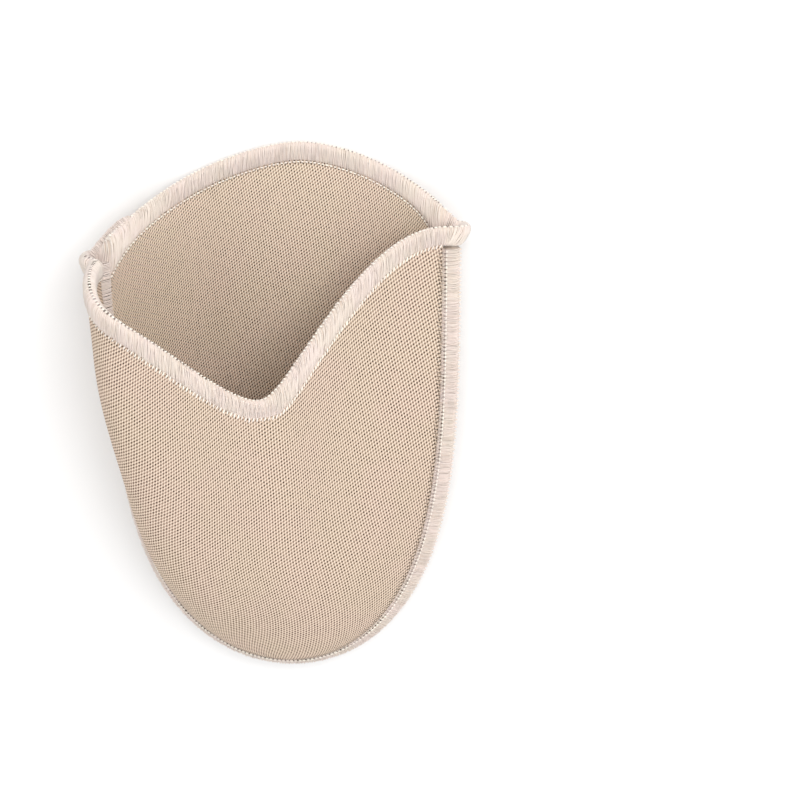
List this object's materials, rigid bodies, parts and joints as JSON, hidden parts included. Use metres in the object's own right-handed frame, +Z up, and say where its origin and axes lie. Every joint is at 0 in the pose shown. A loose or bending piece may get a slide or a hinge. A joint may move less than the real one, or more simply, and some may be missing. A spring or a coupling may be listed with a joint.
{
  "type": "ballet toe pad",
  "caption": "Knitted pouch that covers the toes inside a pointe shoe, with a V-notched vamp, a domed sole and overlocked edges",
  "frame": {"origin": "the middle of the bounding box's lowest face, on the surface that the pad lies on", "axes": "+Z up from the flattened sole through the vamp, +Y from the toe towards the mouth, +X towards the right ear as seen from above with the toe at the bottom of the view"},
  "size_m": [0.0946, 0.1384, 0.0427],
  "materials": {
    "knit_fabric": "thick beige weft knit, matte",
    "overlock_thread": "pale pinkish textured thread, soft sheen"
  },
  "bodies": {
    "root": {"vamp_panel": "knit_fabric", "sole_panel": "knit_fabric", "mouth_rim": "overlock_thread", "side_seam": "overlock_thread"}
  },
  "joints": []
}
